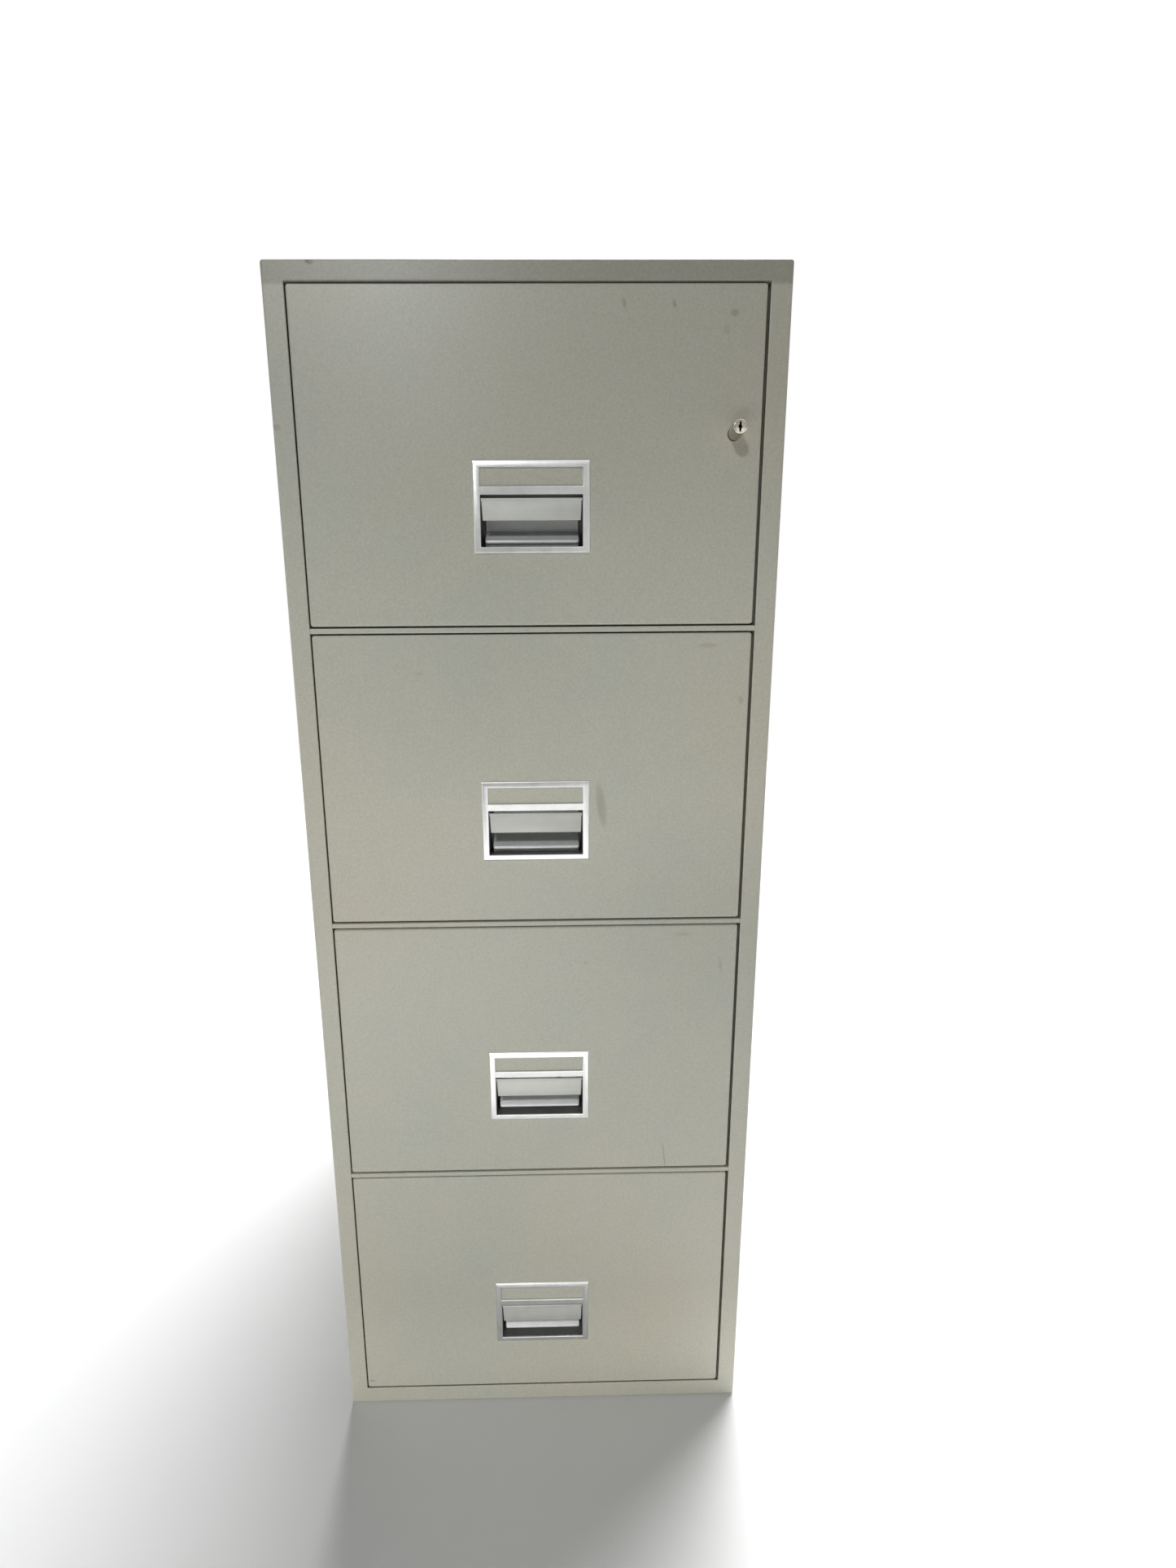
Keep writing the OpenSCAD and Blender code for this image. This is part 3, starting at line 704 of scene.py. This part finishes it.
# %% Sections swept across
def sweep(build, section, stations):
    """Sweeps a closed (depth, height) section along X. Each station is (x, shrink): every point of the
    section moves by shrink towards its middle, but keeps at least a fifth of its distance."""
    middle = section.mean(axis=0)
    rows = []
    for x, shrink in stations:
        away = section - middle
        length = np.linalg.norm(away, axis=1, keepdims=True)
        outline = middle + away * np.maximum(1 - shrink / np.maximum(length, 1e-6), 0.2)
        rows.append(np.stack([np.full(len(section), x), front_y + outline[:, 0], outline[:, 1]], axis=1))
    return build.skin(rows, caps=(True, True), flip=True)


def end_stations(x0, x1, radius, steps=4):
    """Stations of a bar whose two ends are rounded: shrink = radius * (1 - sin a) at radius * (1 - cos a)."""
    a = np.linspace(0, math.pi / 2, steps)
    first = [(x0 + radius * (1 - math.cos(t)), radius * (1 - math.sin(t))) for t in a]
    return first + [(x0 + x1 - x, shrink) for x, shrink in first[::-1]]


def arc(centre, radius, start, end, steps):
    """(depth, height) points on an arc; angles in degrees, 0 towards the back and 90 upwards."""
    a = np.radians(np.linspace(start, end, steps))
    return np.stack([centre[0] + radius * np.cos(a), centre[1] + radius * np.sin(a)], axis=1)


print("a quarter turn in four steps:", np.round(arc((0, 0), 1, 0, 90, 4), 2).tolist())

# %% [markdown]
# ## Finger recesses
# A deep-drawn cup sits behind the frame, and a slanted scoop with a rolled nose leads the fingers up to the
# flap. The cup is rings with a wall thickness; its dark grey is painted shade, because little light gets in.
# The scoop and the light liner on the cup's back are one section swept across it.

# %% Finger recesses
NOSE_DEPTH, NOSE_Z, NOSE_R = 0.0056, 0.0068, 0.0023
LINER_TOP = 0.048
SCOOP_H, SCOOP_FLAT, SCOOP_END, SCOOP_ROUND = 0.0210, 0.0060, 0.0040, 0.002
LINER_OUT = 0.0006
CUP_CORNER = 0.0012
CUP_FOLD = 0.0008
CUP_ROUND = 0.0006
CUP_FLAT = 0.010


def finger_cup(n):
    """Rings back over the outside, a flat end, rings forward over the inside, and the front edge. Gives the
    inner outline, the depth of its floor and the height of its sill."""
    low, high = box(f"handle_pan_{n}")
    rect, deep = (low[0], high[0], low[2], high[2]), high[1] - front_y
    inner, floor = inset(rect, PAN_WALL), deep - PAN_WALL
    outside = [ring(rect, HOLE_CORNER, 0), ring(rect, CUP_ROUND, deep - CUP_FOLD),
               ring(inset(rect, CUP_FOLD), CUP_ROUND, deep),
               ring(inset(rect, CUP_FLAT), CUP_ROUND, deep)]
    inside = [ring(inset(inner, CUP_FLAT), CUP_ROUND, floor)]
    for a in np.linspace(0, math.pi / 2, 4):
        by, forward = CUP_CORNER * (1 - math.sin(a)), CUP_CORNER * (1 - math.cos(a))
        inside.append(ring(inset(inner, by), CUP_CORNER, floor - forward))
    inside.append(ring(inner, CUP_FOLD, 0))
    cup = Build()
    cup.skin(outside, caps=(False, True), flip=True)
    cup.skin(inside, caps=(True, False), flip=True)
    cup.skin([inside[-1], outside[0]], flip=True)
    # The cup takes the dark finish that paints the shade inside the recess.
    cup.finish(f"finger_cup_{n}", f"drawer_{n}", "pan_metal", cup_shade_metal, (f"handle_pan_{n}",), sharp=30)
    return inner, floor, low[2] + PAN_WALL


def scoop(n, inner, floor, sill):
    """Section from under the nose, round it in an arc, up the slope to the liner, and down the back."""
    back, liner, under = floor + 0.5 * PAN_WALL, floor - LINER_OUT, -0.5 * PAN_WALL
    section = np.concatenate([
        [[NOSE_DEPTH + 3.2 * NOSE_R, under], [NOSE_DEPTH + 2.6 * NOSE_R, NOSE_Z - NOSE_R]],
        arc((NOSE_DEPTH + NOSE_R, NOSE_Z), NOSE_R, 290, 115, 12),
        [[floor - SCOOP_FLAT, SCOOP_H - 0.0012], [floor - SCOOP_FLAT + 0.001, SCOOP_H - 0.0006],
         [floor - 0.0010, SCOOP_H], [liner, SCOOP_H + 0.0006], [liner, LINER_TOP],
         [back, LINER_TOP], [back, under]]])
    stations = end_stations(inner[0] + SCOOP_END, inner[1] - SCOOP_END, SCOOP_ROUND)
    build = sweep(Build(), section + np.array([0, sill]), stations)
    return build.finish(f"scoop_{n}", f"drawer_{n}", "pan_metal", pan_metal, sharp=30)


for n in DRAWERS:
    scoop(n, *finger_cup(n))

# %% [markdown]
# ## Flaps
# The pull is a light plate hung from a pin just under the frame. Its top edge is rolled for stiffness and
# its sides taper slightly towards the finger edge. The plate is a swept section whose width changes with
# height, which a plain extrusion could not do, and two small ears carry the pin.

# %% Flaps
PLATE = 0.0018
ROLL_R, ROLL_DEPTH, ROLL_STEP = 0.0016, 0.001, 0.0010
FLAP_PROUD = 0.0015
TAPER, SHOULDER = 0.0018, 0.0011
END_ROUND, END_SQUEEZE = 0.0003, np.array([0.84, 0.9875])
EAR_IN, EAR_THICK, EAR_R, EAR_DROP, EAR_DEPTH = 0.0063, 0.0025, 0.0026, 0.012, 0.0004


def flap(n):
    """Section of rolled top and plate. Half the width grows with a point's height from the finger edge to
    the roll, and the two ends have the section squeezed in depth and height, which rounds them."""
    low, high = box(f"handle_flap_{n}")
    pin_low, pin_high = box(f"flap_pin_{n}")
    pin = ((pin_low[1] + pin_high[1]) / 2 - front_y, (pin_low[2] + pin_high[2]) / 2)
    roll = (ROLL_DEPTH, high[2] - ROLL_R)
    edge, front = low[2], -FLAP_PROUD
    lip = PLATE * 0.45
    top = roll[0] - ROLL_R
    neck = (top + ROLL_STEP, roll[1] - 0.9 * ROLL_R)
    section = np.concatenate([
        arc(roll, ROLL_R, -40, 205, 14),
        [neck, [neck[0] - 0.00005, neck[1] - 0.0006]],
        [[(front + neck[0]) / 2, (edge + neck[1]) / 2]],
        arc((front + lip, edge + lip), lip, 180, 270, 4),
        arc((front + PLATE - lip, edge + lip), lip, 270, 360, 4),
        [[front + PLATE + (top - front) * 0.5, edge + (roll[1] - edge) * 0.5]],
    ])
    half_top, half_low = (high[0] - low[0]) / 2, (high[0] - low[0]) / 2 - TAPER
    middle_x = (low[0] + high[0]) / 2
    centre = section.mean(axis=0)
    rows = []
    for side, squeeze, short in ((-1, END_SQUEEZE, 0), (-1, 1, END_ROUND), (1, 1, END_ROUND),
                                 (1, END_SQUEEZE, 0)):
        outline = centre + (section - centre) * squeeze
        share = np.clip((outline[:, 1] - edge) / (neck[1] - edge), 0, 1)
        plate = half_low + (half_top - SHOULDER - half_low) * share
        half = np.where(outline[:, 1] > neck[1] - 0.0001, half_top, plate) - short
        rows.append(np.stack([middle_x + side * half, front_y + outline[:, 0], outline[:, 1]], axis=1))
    build = Build().skin(rows, caps=(True, True), flip=True)
    ear = np.concatenate([[[EAR_DEPTH, pin[1] - EAR_DROP], [EAR_DEPTH, roll[1]]],
                          arc(pin, EAR_R, 90, -90, 9)])
    for side in (-1, 1):
        x = middle_x + side * (half_top - EAR_IN)
        sweep(build, ear[::-1], [(x - EAR_THICK / 2, 0.0), (x + EAR_THICK / 2, 0.0)])
    return build.finish(f"flap_{n}_plate", f"flap_{n}", "flap_metal", flap_metal,
                        (f"handle_flap_{n}",), sharp=40)


for n in DRAWERS:
    flap(n)

# %% [markdown]
# ## Lock
# The plunger is a turned and plated barrel with a rounded rim, and the key plug sits in it a hair below the
# rim. The keyway could be a Boolean too, but as a true outline it needs none: a slot with a round middle,
# written as the distance from the centre for each angle, so that the front face is one ring of quads
# between that outline and the rim.

# %% Lock
plug_low, plug_high = box("key_plug")
PLUG_R = (plug_high[0] - plug_low[0]) / 2
BORE_R = PLUG_R + 0.00005
RIM_R, RIM_START = 0.0009, 0.0012
KEY_W, KEY_H, KEY_MIDDLE_R, KEY_DEPTH = 0.0019, 0.0096, 0.0019, 0.019


def barrel():
    """Circles from the back to the rim, a quarter round over the rim, and down the bore to its end."""
    front, back = barrel_low[1] - front_y, barrel_high[1] - front_y
    bore_end = plug_high[1] - front_y + 0.0001
    rings = [circle(barrel_r, back), circle(barrel_r, front + RIM_START)]
    for a in np.linspace(0, math.pi / 2, 6):
        rings.append(circle(barrel_r - RIM_R * (1 - math.cos(a)), front + RIM_R * (1 - math.sin(a))))
    rings += [circle(BORE_R + 0.0001, front), circle(BORE_R, front + 0.0002), circle(BORE_R, bore_end)]
    return Build().skin(rings, caps=(True, True)).finish(
        "lock_barrel_turned", "plunger", "lock_chrome", plated, ("lock_barrel",))


def plug_piece():
    """Keyway outline: the larger of the middle's radius and the distance to the slot's nearer side."""
    front, back = plug_low[1] - front_y, plug_high[1] - front_y
    across, up = np.abs(np.cos(TURN)) + 1e-9, np.abs(np.sin(TURN)) + 1e-9
    slot_outline = np.maximum(KEY_MIDDLE_R, np.minimum(KEY_W / 2 / across, KEY_H / 2 / up))
    rings = [circle(PLUG_R, back), circle(PLUG_R, front + 0.0004),
             circle(PLUG_R - 0.0003, front + 0.0001), circle(PLUG_R - 0.0006, front),
             circle(slot_outline + 0.00012, front), circle(slot_outline, front + 0.00015),
             circle(slot_outline, front + KEY_DEPTH)]
    build = Build().skin(rings, caps=(True, True))
    back_cap = build.faces.pop(-2)
    build.faces.insert(0, back_cap)
    # Faces from here on line the keyway and take the near-black finish of painted shade and oil.
    lit = 1 + (len(rings) - 2) * len(TURN)
    return build.finish("key_plug_turned", "key_cylinder", "lock_chrome", plated, ("key_plug",),
                        dark_from=lit)


barrel()
plug_piece()

# %% [markdown]
# ## Floor
# A plain pale floor keeps only the cabinet's shadow. It ends a little in front of the cabinet, because a
# floor that ran on behind the camera would throw its own light back on the whole front. It rides on no
# body, so it is seen here but is no part of the cabinet.

# %% Floor
FLOOR_HALF_WIDTH, FLOOR_NEAR, FLOOR_FAR = 4.0, -1.5, 6.0


def flat_piece(name, corners, material):
    """One quad of four corners."""
    mesh = bpy.data.meshes.new(name)
    mesh.from_pydata(corners, [], [(0, 1, 2, 3)])
    mesh.materials.append(material)
    piece = bpy.data.objects.new(name, mesh)
    bpy.context.collection.objects.link(piece)
    return piece


def mottled(name, colour, darker, lighter, scale):
    """A matt material whose colour wanders a little between two greys."""
    material, wire, shader = new_material(name, colour, 0.9)
    grain = wire.noise(wire.node("TexCoord", output=3), scale, 3.0)
    plug(grain.mix((*darker, 1), (*lighter, 1)), shader, "Base Color")
    return material


side, near, far = FLOOR_HALF_WIDTH, FLOOR_NEAR, FLOOR_FAR
pale = mottled("floor_white", (0.68, 0.68, 0.68), (0.67, 0.67, 0.675), (0.69, 0.69, 0.695), 14.0)
flat_piece("floor", [(-side, near, 0), (side, near, 0), (side, far, 0), (-side, far, 0)], pale)
print("floor from", near, "to", far, "m")

# %% [markdown]
# ## World
# The camera sees the world as pure white, through a Light Path switch, while the cabinet gets only a faint
# even light from it. Reflections see something between: a bright band near the horizon, like windows
# behind the camera, and a bright ceiling that the handles' top bevels pick up.

# %% World
WORLD_LEVEL = 0.07
GLOSS_LOW, GLOSS_WINDOW, GLOSS_HIGH = 0.55, 1.0, 1.5


def white_world():
    """Strength: 1 for the camera, the sheen for reflections, and the low level for everything else."""
    world = bpy.data.worlds.new("white_room")
    world.use_nodes = True
    bpy.context.scene.world = world
    tree = world.node_tree
    background = tree.nodes["Background"]
    background.inputs["Color"].default_value = (1, 1, 1, 1)
    wire = Wire(tree)
    camera_ray, glossy_ray = wire.node("LightPath", output=0), wire.node("LightPath", output=3)
    up = wire.split(wire.node("TexCoord", output=0))[2]
    horizon = up.step(-0.45, -0.25) * (1 - up.step(0.10, 0.35))
    sheen = GLOSS_LOW + horizon * GLOSS_WINDOW + up.step(0.50, 0.85) * (GLOSS_HIGH - GLOSS_LOW)
    plain = camera_ray * (1 - WORLD_LEVEL) + WORLD_LEVEL
    plug(wire.node("Mix", {0: glossy_ray, 2: plain, 3: sheen}), background, "Strength")
    return world


print("world", white_world().name)

# %% [markdown]
# ## Lights
# Soft daylight comes down from behind and to the right and lays the cabinet's shadow towards the camera.
# A small lamp high on the left in front draws the crisp short shadows of the lock and the flaps, and a wide
# weak fill near the floor lifts the lowest drawer. A dark card behind the camera shows only as a faint
# reflection. An image of a room could light it too, but three plain lights can each be judged alone.

# %% Lights
def aimed(name, kind, towards):
    """A light of a kind whose beam points along a vector; gives its object and its settings."""
    data = bpy.data.lights.new(name, kind)
    light = bpy.data.objects.new(name, data)
    light.rotation_mode = "QUATERNION"
    light.rotation_quaternion = Vector(towards).to_track_quat("-Z", "Y")
    bpy.context.collection.objects.link(light)
    return light, data


def area_light(name, position, aim, size, power, colour):
    """A rectangular soft light at a position, turned so that it shines at a point."""
    light, data = aimed(name, "AREA", Vector(aim) - Vector(position))
    light.location = position
    data.shape, data.size, data.size_y = "RECTANGLE", size[0], size[1]
    data.energy, data.color = power, colour


def sun_light(name, travel, strength, spread):
    """Parallel light that travels along a vector; the spread in degrees makes its shadows soft."""
    light, data = aimed(name, "SUN", travel)
    data.energy, data.angle = strength, math.radians(spread)


def dark_card(x0, x1, z0, z1, distance):
    """A soft dark card behind the camera that only shows as a reflection in the enamel and the metal."""
    y = front_y - distance
    cloth = mottled("card_grey", (0.05, 0.05, 0.05), (0.04, 0.04, 0.04), (0.07, 0.07, 0.07), 8.0)
    card = flat_piece("card", [(x0, y, z0), (x1, y, z0), (x1, y, z1), (x0, y, z1)], cloth)
    card.visible_shadow = card.visible_diffuse = card.visible_camera = False


LAMP_COLOUR, FILL_COLOUR = (0.97, 1.0, 1.0), (1.0, 0.985, 0.955)
sun_light("skylight", (-0.27, -0.66, -1.0), 6.0, 42)
area_light("ceiling_lamp", (-0.56, -1.94, 2.55), (0.0, -1.0, 0.3), (0.32, 0.22), 17.2, LAMP_COLOUR)
dark_card(-0.31, 0.09, 0.80, 2.6, 0.9)
area_light("low_fill", (-0.32, -1.42, 0.20), (0, -0.34, 0.24), (1.1, 0.38), 5.1, FILL_COLOUR)
bpy.context.scene.view_settings.view_transform = "Standard"
print("one sun, two lamps and one card")
